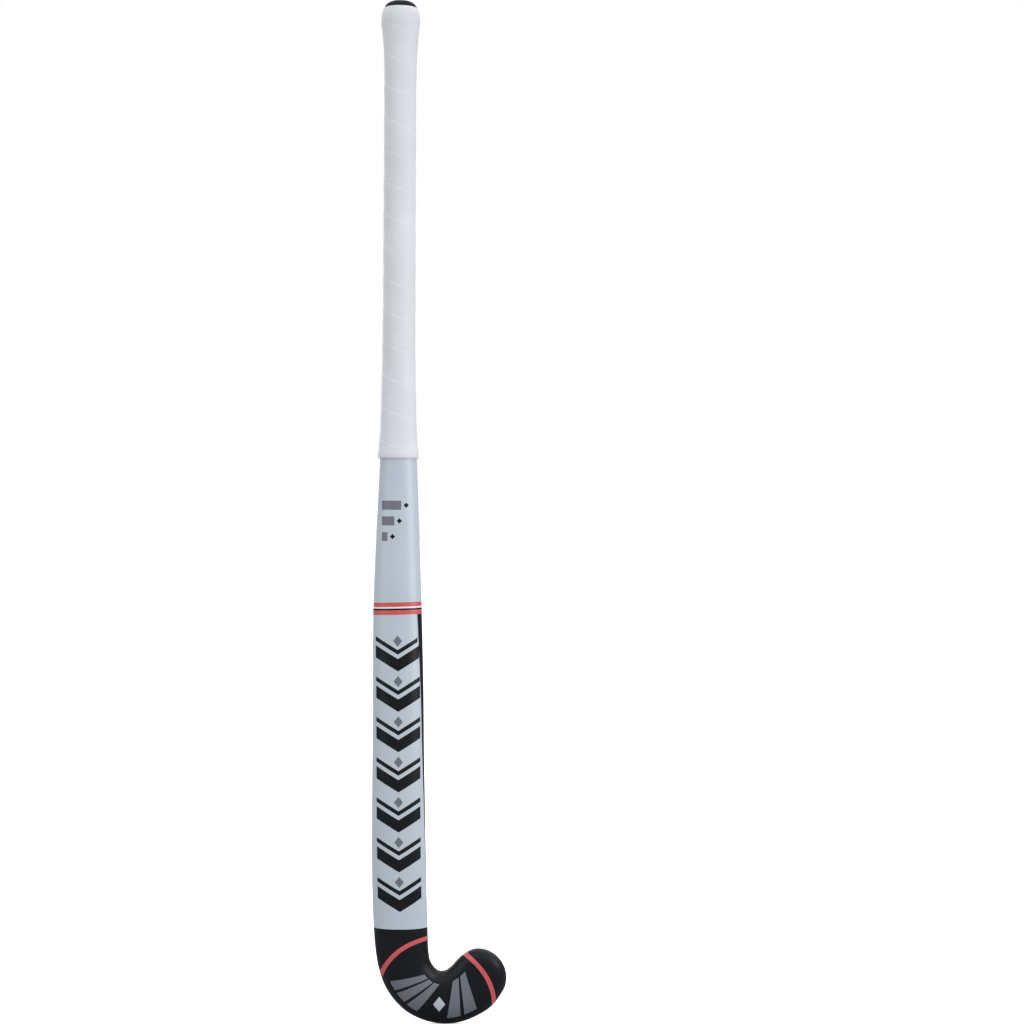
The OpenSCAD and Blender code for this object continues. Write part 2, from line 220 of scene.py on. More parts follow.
def toe_edge(side, s):
    """The toe's inner edge for side 1, or its outer edge for side -1, at a share s of its run."""
    return TOE_BASE + side * TOE_HALF * toe_share(s) + TOE_RUN * s


# The hook's curves start from a row of the neck and run on to a row of the toe
NECK_ROW_Z = 92
TOE_ROW_SHARE = 0.4
TOE_ROW_DEPTH = 12.4
HOOK_STEPS = 8


def hook_ribs():
    """Ribs of the hook, HOOK_STEPS to a row, with a Catmull-Rom curve through each edge."""
    neck = shaft_ribs([NECK_ROW_Z])[0]
    first = (neck[:2] - neck[2:4], neck[:2] + neck[2:4], neck[5])
    last = (toe_edge(-1, TOE_ROW_SHARE), toe_edge(1, TOE_ROW_SHARE), TOE_ROW_DEPTH)
    rows = np.array([[*a, *b, d] for a, b, d in [first, *HOOK, last]])
    ribs = []
    for i in range(1, len(HOOK)):
        p, a, b, n = rows[i - 1], rows[i], rows[i + 1], rows[i + 2]
        for s in np.arange(HOOK_STEPS) / HOOK_STEPS:
            v = (
                a
                + s * (b - p) / 2
                + s**2 * (2 * p - 5 * a + 4 * b - n) / 2
                + s**3 * (3 * a - p - 3 * b + n) / 2
            )
            centre, half = (v[:2] + v[2:4]) / 2, (v[2:4] - v[:2]) / 2
            ribs.append([*centre, *half, FACE_H, v[4], CORNER])
    return np.array(ribs)


def toe_ribs(shares):
    """Ribs that close the toe as half an ellipse; its flat side is flat up to the corner."""
    length, wide = np.linalg.norm(TOE_RUN), np.linalg.norm(TOE_HALF)
    ribs = []
    for s in shares:
        left = length * (1 - s)
        across = toe_share(s)
        flat = (wide - CORNER) * math.sqrt(max(0, 1 - (s * length / (length - CORNER)) ** 2))
        face = 1 if left >= CORNER else math.sqrt(max(1 - (1 - left / CORNER) ** 2, 0))
        back = HOOK[-1][2] * (1 - s**TOE_POWER) ** (1 / TOE_POWER)
        ribs.append(
            [*(TOE_BASE + TOE_RUN * s), *(TOE_HALF * across), FACE_H * face, back, wide * across - flat]
        )
    return np.array(ribs)


# Limits of a rib that is moved in: LEAST_HALF and MOST_RUN are shares of a half width, the others mm
LEAST_HALF = 0.25
LEAST_HEIGHT = 0.01
LEAST_RUN = 0.3
MOST_RUN = 0.98


def lifted(ribs, w):
    """Ribs moved out by w millimetres, or in for a negative w."""
    r = ribs.copy()
    half = np.linalg.norm(r[:, 2:4], axis=1)
    grown = np.maximum(half + w, half * LEAST_HALF)
    r[:, 2:4] *= (grown / half)[:, None]
    r[:, 4] = np.maximum(r[:, 4] + w, LEAST_HEIGHT)
    r[:, 5] = np.maximum(r[:, 5] + w, LEAST_HEIGHT)
    r[:, 6] = np.clip(r[:, 6] + w, LEAST_RUN, grown * MOST_RUN)
    return r


def on_ribs(ribs, u, y):
    """Points at u along each rib's half vector and y above its widest line, both in mm."""
    half = ribs[:, 2:4]
    d = half / np.linalg.norm(half, axis=1)[:, None]
    return place(ribs[:, :1] + u * d[:, :1], y, ribs[:, 1:2] + u * d[:, 1:2])


def face_line(ribs, corner=10, flat=12):
    """Over the flat side from the toe-side edge to the heel-side edge."""
    a = np.linspace(0, math.pi / 2, corner)
    half, height, run = np.linalg.norm(ribs[:, 2:4], axis=1), ribs[:, 4], ribs[:, 6]
    u = (half - run)[:, None] + run[:, None] * np.cos(a)
    y = height[:, None] * np.sin(a)
    middle = np.linspace(1, -1, flat)[1:-1]
    u = np.hstack([u, (half - run)[:, None] * middle, -u[:, ::-1]])
    y = np.hstack([y, height[:, None] * np.ones_like(middle), y[:, ::-1]])
    return on_ribs(ribs, u, y)


def back_line(ribs, count=49, end=None):
    """Round the back from the heel-side edge, to the toe-side edge or as far as end, in mm along."""
    half, depth = np.linalg.norm(ribs[:, 2:4], axis=1)[:, None], ribs[:, 5][:, None]
    last = np.full_like(half, math.pi)
    if end is not None:
        share = np.clip(end[:, None] / half, -1, 1)
        last = np.arccos(-np.sign(share) * np.abs(share) ** (BACK_POWER / 2))
    a = last * np.linspace(0, 1, count)
    u = -np.sign(np.cos(a)) * half * np.abs(np.cos(a)) ** (2 / BACK_POWER)
    y = -depth * np.abs(np.sin(a)) ** (2 / BACK_POWER)
    return on_ribs(ribs, u, y)


def whole_ring(ribs):
    """All the way round each rib, over the flat side and back round the round one."""
    return np.concatenate([face_line(ribs), back_line(ribs)[:, 1:-1]], axis=1)


# ---------------------------------------------------------------- meshes


# Points closer than this are taken as one, in metres
MERGE = 1e-7


def finish_mesh(name, verts, faces, sharp=40):
    """A smooth piece, with a hard edge where its faces turn by more than sharp degrees."""
    mesh = bpy.data.meshes.new(name)
    mesh.from_pydata([tuple(v) for v in verts], [], [tuple(int(i) for i in f) for f in faces])
    mesh.validate()
    bm = bmesh.new()
    bm.from_mesh(mesh)
    bmesh.ops.remove_doubles(bm, verts=bm.verts, dist=MERGE)
    bmesh.ops.dissolve_degenerate(bm, edges=bm.edges, dist=MERGE)
    bm.to_mesh(mesh)
    bm.free()
    mesh.shade_smooth()
    mesh.set_sharp_from_angle(angle=math.radians(sharp))
    piece = bpy.data.objects.new(name, mesh)
    bpy.context.scene.collection.objects.link(piece)
    return piece


def loft(name, rings, looped=False):
    """A closed surface over rings that run down the stick, capped at its ends or looped on itself."""
    m, n = rings.shape[:2]
    faces = []
    for i in range(m if looped else m - 1):
        a, b = i * n, ((i + 1) % m) * n
        faces += [(a + k, a + (k + 1) % n, b + (k + 1) % n, b + k)[::-1] for k in range(n)]
    if not looped:
        end = (m - 1) * n
        for k in range(n // 2 - 1):
            quad = (k, k + 1, n - 2 - k, n - 1 - k)
            faces.append(quad)
            faces.append(tuple(end + q for q in quad[::-1]))
    return finish_mesh(name, rings.reshape(-1, 3), faces)


def sleeve(name, heights, outer, inner):
    """A layer round the shaft between two thicknesses over its surface, by height."""
    ribs = shaft_ribs(heights)
    outside = whole_ring(lifted(ribs, outer(heights)))
    inside = whole_ring(lifted(ribs, inner(heights)))
    return loft(name, np.concatenate([outside, inside[::-1]]), looped=True)


SHAFT_STEP = 4
HOOK_START_Z = HOOK[0][0][1]
# Shares of the toe's run, closer together towards its tip and ending just short of it
TOE_SHARES = np.sin(np.linspace(0, math.radians(89.3), 34))
TOE_CLOSING = 24
ribs_all = np.concatenate(
    [
        shaft_ribs(np.arange(HANDLE_TOP, HOOK_START_Z, -SHAFT_STEP)),
        hook_ribs(),
        toe_ribs(TOE_SHARES),
    ]
)


def half_shell(name, line, wall):
    """One moulded half of the shell; its hollow closes over the last TOE_CLOSING ribs of the toe."""
    inside = lifted(ribs_all, -wall)
    toe = np.clip(1 - np.arange(len(ribs_all))[::-1] / TOE_CLOSING, 0, 1)
    inside[:, 4:6] *= np.sqrt(1 - toe**2)[:, None]
    return loft(name, np.concatenate([line(ribs_all), line(inside)[:, ::-1]], axis=1))


back_shell = half_shell("back_shell", back_line, BACK_WALL)
face_shell = half_shell("face_shell", face_line, FACE_WALL)

# ---------------------------------------------------------------- films, label and band

FILM = 0.12
FILM_STEP = 3
# Height, and how many mm of the toe-side edge the lower film leaves bare there
STRIP = [(90, 0), (120, 0.15), (148, 0.5), (220, 1.5), (292, 2.6), (330, 3.4), (BAND_MIDDLE, 4.5)]


def back_film(name, top, bottom, strip=None):
    """A film on the back; strip is how much of the toe-side edge it leaves bare, by height."""
    heights = np.linspace(top, bottom, int((top - bottom) / FILM_STEP))
    ribs = shaft_ribs(heights)
    outer, inner = lifted(ribs, FILM), lifted(ribs, 0)
    ends = (None, None)
    if strip:
        ends = [np.linalg.norm(r[:, 2:4], axis=1) - smooth(strip, heights, 1) for r in (outer, inner)]
    rings = [back_line(outer, end=ends[0]), back_line(inner, end=ends[1])[:, ::-1]]
    return loft(name, np.concatenate(rings, axis=1))


# The two films meet under the band
upper_panel = back_film("pale_panel_upper", COLLAR_Z, BAND_MIDDLE)
lower_panel = back_film("pale_panel_lower", BAND_MIDDLE, PANEL_Z, STRIP)


LABEL_ROWS = 40
LABEL_COLUMNS = 25


def label_film():
    """The label on the flat side, which bends over the rounded corners of the face."""
    ribs = shaft_ribs(np.linspace(LABEL_Z + LABEL_H, LABEL_Z, LABEL_ROWS))
    u = np.linspace(LABEL_REACH[0], -LABEL_REACH[1], LABEL_COLUMNS) + 0 * ribs[:, :1]
    flat = np.linalg.norm(ribs[:, 2:4], axis=1)[:, None] - ribs[:, 6:7]
    lines = []
    for w in (FILM, 0):
        past = np.maximum(np.abs(u) - flat, 0) / (ribs[:, 6:7] + w)
        lines.append(on_ribs(ribs, u, (ribs[:, 4:5] + w) * np.sqrt(1 - past**2)))
    return loft("label_film", np.concatenate([lines[0], lines[1][:, ::-1]], axis=1))


label = label_film()

# The band is a printed strip wound once round the shaft, so its ends meet out of line at the heel
BAND_LEAN = 1.2
BAND_LIFT = FILM + 0.05


def band_ring(name, top, bottom):
    """One ring of the band, from the heel-side edge round the back and the face to that edge again."""
    ribs = shaft_ribs([top])
    heel = face_line(ribs).shape[1] - 1
    around = whole_ring(ribs).shape[1]
    half = np.linalg.norm(ribs[0, 2:4]) * 0.001
    columns = [(k % around, -1) for k in range(heel, around + 1)]
    columns += [(k, 1) for k in range(1, heel + 1)]
    sections = []
    for k, side in columns:
        across = whole_ring(ribs)[0, k, 0] - ribs[0, 0] * 0.001
        z = np.array([top, bottom]) + side * BAND_LEAN * (half - across) / (2 * half)
        outer, inner = (whole_ring(lifted(shaft_ribs(z), w))[:, k] for w in (BAND_LIFT, 0))
        sections.append([outer[0], outer[1], inner[1], inner[0]])
    return loft(name, np.array(sections))


bands = []
ring_top = BAND_Z
for i, height in enumerate(BAND_HEIGHTS):
    bands.append(band_ring(f"band_ring_{i + 1}_print", ring_top, ring_top - height))
    ring_top -= height

# ---------------------------------------------------------------- grip, collar and cap

TAPE_PITCH = 29
TAPE_LIP = 0.2
LIP_RUN = 1.6
OVERLAP = 5
OVERLAP_FADE = 14
GRIP_END_FADE = 4
# Faint waves of the hand-wound tape: height in mm, mm per radian down the handle, waves round it
TAPE_WAVES = ((0.05, 17, 4), (0.04, 7.3, 2))
# Rows across one turn of the tape, close together at its seam
TAPE_ROWS = np.array(
    [0, 0.1, 0.3, 0.6, 1, 1.6, 2.4, 4, 5.5, 7, 8.5, 10.5, 13, 16, 19, 22, 25, 27, 28.3, 28.75, 28.95]
)


def tape_relief(down):
    """Height of the wound tape's surface at a distance below each seam, in mm."""
    lip = np.sin(np.clip(down / LIP_RUN, 0, 1) * math.pi / 2)
    under = np.clip((down - OVERLAP) / OVERLAP_FADE, 0, 1)
    return TAPE_LIP * lip * (1 - under**2 * (3 - 2 * under))


def wound_grip():
    """The tape's turns, as one surface whose rows follow the seam down and round the handle."""
    low, high = COLLAR_Z + 1, GRIP_TOP
    turns = int((high - low) / TAPE_PITCH) + 3
    down = np.tile(TAPE_ROWS, turns)
    start = high + TAPE_PITCH * (1 - np.repeat(np.arange(turns), len(TAPE_ROWS))) - down
    around = whole_ring(shaft_ribs([high])).shape[1]
    rows = len(start)
    verts = np.zeros((around, rows, 3))
    for k in range(around):
        turn = k / around
        z = start - TAPE_PITCH * turn
        inside = np.clip(z, low, high)
        uneven = sum(rise * np.sin(z / run + times * turn * math.tau) for rise, run, times in TAPE_WAVES)
        fade = np.clip(np.minimum(inside - low, high - inside) / GRIP_END_FADE, 0, 1)
        over = smooth(GRIP, inside, 1) + (tape_relief(down) - TAPE_LIP / 3 + uneven) * fade
        verts[k] = whole_ring(lifted(shaft_ribs(inside), over))[:, k]
    faces = []
    for k in range(around):
        # The last column joins the first one a whole turn of the tape further down
        step = len(TAPE_ROWS) if k == around - 1 else 0
        beside = (k + 1) % around
        for j in range(rows - 1 - step):
            right = beside * rows + j + step
            faces.append((k * rows + j, k * rows + j + 1, right + 1, right))
    verts = verts.reshape(-1, 3)
    bottom, top = (place(0.0, 0.0, float(h))[2] for h in (low, high))
    heights = [verts[list(f), 2] for f in faces]
    kept = [f for f, z in zip(faces, heights) if z.min() < top - MERGE and z.max() > bottom + MERGE]
    return finish_mesh("wound_grip", verts, kept, 50)


grip = wound_grip()
collar = sleeve(
    "finishing_tape",
    np.linspace(COLLAR_TOP, COLLAR_Z, 25),
    lambda z: smooth(COLLAR, z, 1),
    lambda z: np.where(z > COLLAR_Z, smooth(GRIP, z, 1) - 0.2, 0),
)


DOME_ANGLES = np.radians(np.linspace(88, 0, 26))
SKIRT_ROWS = 8
SOCKET_ROWS = 4


def rubber_cap():
    """A dome and a skirt over the handle's end, hollow where the handle goes in."""
    dome = []
    for a in DOME_ANGLES:
        rib = lifted(shaft_ribs([float(HANDLE_TOP)]), smooth(SKIRT, HANDLE_TOP, 1))[0]
        rib[1] = HANDLE_TOP + DOME_H * math.sin(a) ** DOME_POWER
        rib[2:7] *= math.cos(a) ** DOME_POWER
        dome.append(rib)
    heights = np.linspace(HANDLE_TOP - 3, SKIRT_Z, SKIRT_ROWS)
    skirt = lifted(shaft_ribs(heights), smooth(SKIRT, heights, 1))
    socket = shaft_ribs(np.linspace(SKIRT_Z, HANDLE_TOP, SOCKET_ROWS))
    return loft("rubber_cap", whole_ring(np.concatenate([np.array(dome), skirt, socket])))


cap = rubber_cap()

# ---------------------------------------------------------------- printed graphics


def tree_of(*pieces):
    """One search tree over the surfaces that are printed on."""
    verts, polys = [], []
    for piece in pieces:
        base = len(verts)
        verts += [v.co.copy() for v in piece.data.vertices]
        polys += [[base + i for i in p.vertices] for p in piece.data.polygons]
    return BVHTree.FromPolygons(verts, polys)


SURFACE = tree_of(back_shell, face_shell, upper_panel, lower_panel, label)
# How far ink stands over the surface and reaches into it, in metres
INK = 0.00006
INK_BELOW = 0.00004
BACK, FACE = -1, 1


def on_surface(x, z, side):
    """The surface on one side of the stick at [x, z] in mm, with its normal, or None beside the stick."""
    start = Vector(place(x, 0.0, z))
    start.y = side
    hit, normal, _, _ = SURFACE.ray_cast(start, Vector((0, -side, 0)))
    return None if hit is None else (hit, normal)


def ink(name, spots, faces):
    """A closed skin of ink over points of the surface."""
    n = len(spots)
    verts = [point + normal * INK for point, normal in spots]
    verts += [point - normal * INK_BELOW for point, normal in spots]
    edges = dict.fromkeys((a, b) for f in faces for a, b in zip(f, f[1:] + f[:1]))
    rims = [(b, a, n + a, n + b) for a, b in edges if (b, a) not in edges]
    unders = [[n + i for i in f[::-1]] for f in faces]
    return finish_mesh(name, verts, faces + unders + rims, 60)


def drape(name, outlines, side, grid=1.6):
    """Print on the back or the face, from outlines [x, z] in mm, cut into small faces to bend."""
    bm = bmesh.new()
    for outline in outlines:
        bm.faces.new([bm.verts.new((x, 0, z)) for x, z in outline])
    bmesh.ops.triangulate(bm, faces=bm.faces)
    corners = np.array([v.co for v in bm.verts])
    for axis in (0, 2):
        normal = Vector((axis == 0, 0, axis == 2))
        for at in np.arange(corners[:, axis].min() + grid, corners[:, axis].max(), grid):
            everything = bm.verts[:] + bm.edges[:] + bm.faces[:]
            bmesh.ops.bisect_plane(bm, geom=everything, dist=1e-6, plane_co=normal * at, plane_no=normal)
    bm.verts.index_update()
    spots = [on_surface(v.co.x, v.co.z, side) for v in bm.verts]
    faces = []
    for f in bm.faces:
        ids = [v.index for v in f.verts]
        faces.append(ids[::-1] if f.normal.y * side < 0 else ids)
    bm.free()
    return ink(name, spots, faces)


STRIPE_ALONG = 90
STRIPE_ACROSS = 5
# First and last step of the search for a stripe's ends, in radians
EDGE_STEP = 0.03
EDGE_FOUND = 1e-6


def arc_stripe(name, centre, radius, width, inside, side):
    """A curved stripe from edge to edge of the hook; inside is an angle between its two ends."""

    def spot(r, angle):
        return on_surface(centre[0] + r * math.cos(angle), centre[1] + r * math.sin(angle), side)

    def end(r, step):
        angle = math.radians(inside)
        while abs(step) > EDGE_FOUND:
            if spot(r, angle + step):
                angle += step
            else:
                step /= 2
        return angle

    spots = []
    for r in np.linspace(radius - width / 2, radius + width / 2, STRIPE_ACROSS):
        first, last = end(r, -EDGE_STEP), end(r, EDGE_STEP)
        for t in np.linspace(0, math.pi, STRIPE_ALONG):
            spots.append(spot(r, (first + last) / 2 - (last - first) / 2 * math.cos(t)))
    faces = []
    for i in range(STRIPE_ACROSS - 1):
        for j in range(STRIPE_ALONG - 1):
            a = i * STRIPE_ALONG + j
            quad = [a, a + STRIPE_ALONG, a + STRIPE_ALONG + 1, a + 1]
            faces.append(quad if side == BACK else quad[::-1])
    return ink(name, spots, faces)


def shifted(outline):
    """An outline drawn about the shaft's middle line, moved to where that line is."""
    return [(x + float(smooth(SHAFT, z, 2)), z) for x, z in outline]


CHEVRON_RISE = 12


def chevron(z, half, thickness):
    """A V that points down, with its lowest point at z."""
    under = [(-half, z + CHEVRON_RISE), (0, z), (half, z + CHEVRON_RISE)]
    return shifted(under + [(x, at + thickness) for x, at in under[::-1]])


def diamond(x, z, half, tall):
    return [(x - half, z), (x, z - tall), (x + half, z), (x, z + tall)]


def bar(left, right, bottom, top):
    return [(left, bottom), (right, bottom), (right, top), (left, top)]


# Generic marks in the shaft's long printed column: chevrons, each with a diamond in its arms
THICK_ARM = 11
THIN_ARM = 4
THIN_ABOVE = 15
DIAMOND_ABOVE = 27
COLUMN_DIAMOND = (4, 5)
# The heights of the chevrons' points, and half their width
COLUMN = {BACK: (np.linspace(322, 106, 7), 19.5), FACE: (np.linspace(319, 115, 7), 18.5)}


def column_chevrons(side):
    heights, half = COLUMN[side]
    thick = [chevron(z, half, THICK_ARM) for z in heights]
    thin = [chevron(z + THIN_ABOVE, half, THIN_ARM) for z in heights]
    return thick + thin


def column_diamonds(side):
    return [shifted(diamond(0, z + DIAMOND_ABOVE, *COLUMN_DIAMOND)) for z in COLUMN[side][0]]


back_chevrons = drape("back_chevrons", column_chevrons(BACK), BACK)
back_diamonds = drape("back_diamonds", column_diamonds(BACK), BACK)
face_chevrons = drape("face_chevrons", column_chevrons(FACE), FACE)
face_diamonds = drape("face_diamonds", column_diamonds(FACE), FACE)

# Three bars above the band, on the back, each with a diamond at its end
STEP_BARS = [(-14, 3, 466), (-14, -3, 452), (-14, -9, 438)]
STEP_BAR_H = 8
STEP_GAP = 4.5
STEP_DIAMOND = (2.4, 2.4)
step_outlines = [bar(left, right, z, z + STEP_BAR_H) for left, right, z in STEP_BARS]
step_bars = drape("step_bars", step_outlines, BACK)
step_marks = [diamond(right + STEP_GAP, z + STEP_BAR_H / 2, *STEP_DIAMOND) for _, right, z in STEP_BARS]
step_diamonds = drape("step_diamonds", step_marks, BACK)


# The label's frame and dividers, its drawings of the stick's profile and bow, and plain bars
LINE = 0.8


def upright(x, bottom, top, width=LINE):
    return bar(x - width / 2, x + width / 2, bottom, top)


def level(z, left, right):
    return bar(left, right, z - LINE / 2, z + LINE / 2)


def stroke(points):
    """A thin line through points that run up the stick."""
    return [(x - LINE / 2, z) for x, z in points] + [(x + LINE / 2, z) for x, z in points[::-1]]


frame_left, frame_right, frame_low, frame_high = -11.8, 15, 394.8, 497
row_heights = (428.5, 463)
divider_x = 3.9
bow_points = [(-1.6 + 1.6 * math.sin(math.pi * t), 432.5 + 27 * t) for t in np.linspace(0, 1, 9)]
label_lines = [level(z, frame_left, frame_right) for z in (frame_low, *row_heights, frame_high)]
label_lines += [upright(x, frame_low, frame_high) for x in (frame_left, frame_right)]
label_lines += [
    upright(divider_x, *row_heights),
    stroke([(7.4, 466), (8.7, 471), (8.7, 493.5)]),
    upright(5, 467, 473.5),
    stroke(bow_points),
    level(446, -2.6, 1),
]
LABEL_BAR_W = 2.2
# Each plain bar's place across the label, bottom and top
LABEL_BARS = [
    (-2.2, 468, 493),
    (-6.5, 471.5, 489),
    (9.4, 448.5, 458.5),
    (9.4, 432.5, 445),
    (-6.5, 440, 453),
    (9.9, 407.5, 417),
    (5.3, 402, 421.5),
    (-7, 397, 426.5),
]
label_bars = [upright(x, bottom, top, LABEL_BAR_W) for x, bottom, top in LABEL_BARS]
label_print = drape("label_lines", label_lines, FACE)
label_blocks = drape("label_bars", label_bars, FACE)

# Two red stripes round each side of the hook: a centre, a radius and an angle between the ends
HEEL_STRIPES = {BACK: ((33, 32.5), 47.8, 130), FACE: ((47.5, 31), 51.8, 130)}
TOE_STRIPES = {BACK: ((33.5, 17.3), 56.4, 25), FACE: ((39, 35.7), 48.4, 10)}
STRIPE_W = 4

stripes = []
for side, side_name in ((BACK, "back"), (FACE, "face")):
    for end_name, table in (("heel", HEEL_STRIPES), ("toe", TOE_STRIPES)):
        centre, radius, inside = table[side]
        stripe_name = f"{side_name}_{end_name}_stripe"
        stripes.append(arc_stripe(stripe_name, centre, radius, STRIPE_W, inside, side))

# Between the stripes, slanted bars that follow the bend, with a pale diamond in their middle
BEND = hook_ribs()
BAR_REACH = (-0.7, 0.58)
BAR_SLANT = 0.9
BAR_STARTS = {BACK: (2.2, 3.3, 4.4, 7.1, 8.2), FACE: (3.2, 4.2, 5.2, 7.6, 8.6)}
BAR_RUN = 0.85
HEAD_DIAMOND = {BACK: (40, 21), FACE: (47, 22)}
HEAD_DIAMOND_SIZE = (5.5, 7)


def on_bend(row, share):
    """A point by its place along the hook's rows and its share of the way out from their middle."""
    at = np.clip(row * HOOK_STEPS, 0, len(BEND) - 1)
    x, z, dx, dz = (np.interp(at, np.arange(len(BEND)), BEND[:, c]) for c in range(4))
    return float(x + share * dx), float(z + share * dz)


def bend_bar(start):
    """A slanted bar across the hook, from a row on its outer side to a later one on its inner side."""
    outer, inner = BAR_REACH
    steps = np.linspace(0, BAR_RUN, 8)
    low = [on_bend(start + t, outer) for t in steps]
    high = [on_bend(start + BAR_SLANT + t, inner) for t in steps[::-1]]
    return low + high


head_marks = []
for side, side_name in ((BACK, "back"), (FACE, "face")):
    bars = drape(f"{side_name}_head_bars", [bend_bar(start) for start in BAR_STARTS[side]], side)
    mark = diamond(*HEAD_DIAMOND[side], *HEAD_DIAMOND_SIZE)
    dot = drape(f"{side_name}_head_diamond", [mark], side)
    head_marks.append((bars, dot))


# ---------------------------------------------------------------- materials


def nodes_of(name):
    mat = bpy.data.materials.new(name)
    mat.use_nodes = True
    tree = mat.node_tree
    return mat, tree, tree.nodes["Principled BSDF"]


def noise(tree, scale, detail=3.0, roughness=0.5):
    """Noise over the part's own coordinates, with its scale in features per metre."""
    coords = tree.nodes.new("ShaderNodeTexCoord")
    tex = tree.nodes.new("ShaderNodeTexNoise")
    tex.inputs["Scale"].default_value = scale
    tex.inputs["Detail"].default_value = detail
    tex.inputs["Roughness"].default_value = roughness
    tree.links.new(coords.outputs["Object"], tex.inputs["Vector"])
    return tex.outputs["Fac"]


# Most of a noise lies between these two
NOISE_LOW = 0.3
NOISE_HIGH = 0.7


def remap(tree, value, low, high):
    """A noise spread from low to high."""
    node = tree.nodes.new("ShaderNodeMapRange")
    node.inputs["From Min"].default_value = NOISE_LOW
    node.inputs["From Max"].default_value = NOISE_HIGH
    node.inputs["To Min"].default_value = low
    node.inputs["To Max"].default_value = high
    tree.links.new(value, node.inputs["Value"])
    return node.outputs["Result"]


def two_tone(tree, value, dark, light):
    mix = tree.nodes.new("ShaderNodeMix")
    mix.data_type = "RGBA"
    mix.inputs["A"].default_value = (*dark, 1)
    mix.inputs["B"].default_value = (*light, 1)
    tree.links.new(value, mix.inputs["Factor"])
    return mix.outputs["Result"]


def bump(tree, height, strength, distance):
    node = tree.nodes.new("ShaderNodeBump")
    node.inputs["Strength"].default_value = strength
    node.inputs["Distance"].default_value = distance
    tree.links.new(height, node.inputs["Height"])
    return node.outputs["Normal"]


def shade(colour, k):
    return tuple(c * k for c in colour)


def lacquer(name, colour, rough, coat, vary=0.06, specular=0.3):
    """Sprayed or printed colour under clear lacquer, with a little orange peel."""
    mat, tree, shader = nodes_of(name)
    cloud = remap(tree, noise(tree, 28), 0, 1)
    paint = two_tone(tree, cloud, shade(colour, 1 - vary), shade(colour, 1 + vary))
    tree.links.new(paint, shader.inputs["Base Color"])
    worn = remap(tree, noise(tree, 90, 2), rough - 0.04, rough + 0.04)
    tree.links.new(worn, shader.inputs["Roughness"])
    tree.links.new(bump(tree, noise(tree, 650, 2), 0.06, 0.0002), shader.inputs["Normal"])
    shader.inputs["Specular IOR Level"].default_value = specular
    shader.inputs["Coat Weight"].default_value = coat
    shader.inputs["Coat Roughness"].default_value = 0.3
    return mat


def soft_grip(name, colour, rough):
    """Polyurethane tape: a fine leathery grain, faint handling marks and a dull sheen."""
    mat, tree, shader = nodes_of(name)
    cloud = remap(tree, noise(tree, 22, 4, 0.6), 0, 1)
    skin = two_tone(tree, cloud, shade(colour, 0.95), shade(colour, 1.03))
    tree.links.new(skin, shader.inputs["Base Color"])
    worn = remap(tree, noise(tree, 120, 3), rough - 0.06, rough + 0.08)
    tree.links.new(worn, shader.inputs["Roughness"])
    tree.links.new(bump(tree, noise(tree, 1400, 4, 0.7), 0.25, 0.00025), shader.inputs["Normal"])
    shader.inputs["Sheen Weight"].default_value = 0.15
    return mat


def rubber(name, colour):
    """Dull moulded rubber with a fine grain."""
    mat, tree, shader = nodes_of(name)
    cloud = remap(tree, noise(tree, 60, 4), 0, 1)
    skin = two_tone(tree, cloud, shade(colour, 0.8), shade(colour, 1.3))
    tree.links.new(skin, shader.inputs["Base Color"])
    tree.links.new(remap(tree, noise(tree, 200, 3), 0.5, 0.68), shader.inputs["Roughness"])
    tree.links.new(bump(tree, noise(tree, 1600, 3), 0.3, 0.0002), shader.inputs["Normal"])
    shader.inputs["Specular IOR Level"].default_value = 0.15
    return mat


def foam(name, colour, scale):
    """Closed cells, for the cores and the cushion."""
    mat, tree, shader = nodes_of(name)
    coords = tree.nodes.new("ShaderNodeTexCoord")
    cells = tree.nodes.new("ShaderNodeTexVoronoi")
    cells.inputs["Scale"].default_value = scale
    tree.links.new(coords.outputs["Object"], cells.inputs["Vector"])
    paint = two_tone(tree, cells.outputs["Distance"], colour, shade(colour, 0.6))
    tree.links.new(paint, shader.inputs["Base Color"])
    tree.links.new(bump(tree, cells.outputs["Distance"], 0.5, 0.0006), shader.inputs["Normal"])
    shader.inputs["Roughness"].default_value = 0.85
    return mat


BLACK = (0.006, 0.0068, 0.0085)
PALE = (0.50, 0.555, 0.62)
RED = (0.60, 0.10, 0.105)
WHITE = (0.80, 0.80, 0.80)
GREY = (0.155, 0.165, 0.195)
GRIP_WHITE = (0.70, 0.72, 0.75)
CAP_BLACK = (0.005, 0.005, 0.007)
PLUG_GREY = (0.05, 0.05, 0.055)
CORE_YELLOW = (0.75, 0.68, 0.45)
CUSHION_GREY = (0.1, 0.1, 0.11)
LAMINATE = (0.02, 0.02, 0.022)

# The two numbers of a lacquer are its roughness and the weight of its clear coat
black_lacquer = lacquer("black_lacquer", BLACK, 0.42, 0.1, vary=0.12, specular=0.15)
pale_lacquer = lacquer("pale_lacquer", PALE, 0.38, 0.3, vary=0.025)
pale_print = lacquer("pale_print", PALE, 0.42, 0.1, vary=0.025)
red_print = lacquer("red_print", RED, 0.4, 0.2)
white_print = lacquer("white_print", WHITE, 0.4, 0.3, vary=0.03)
black_print = lacquer("black_print", BLACK, 0.42, 0.1, vary=0.12, specular=0.15)
grey_print = lacquer("grey_print", GREY, 0.42, 0.1, vary=0.05)
grip_skin = soft_grip("grip_polyurethane", GRIP_WHITE, 0.55)
collar_skin = soft_grip("collar_tape", GRIP_WHITE, 0.52)
cap_rubber = rubber("cap_rubber", CAP_BLACK)
plug_foam = rubber("plug_foam", PLUG_GREY)
core_foam = foam("core_foam", CORE_YELLOW, 900)
cushion_foam = foam("cushion_foam", CUSHION_GREY, 1500)
raw_laminate = lacquer("raw_laminate", LAMINATE, 0.5, 0.0, vary=0.3)


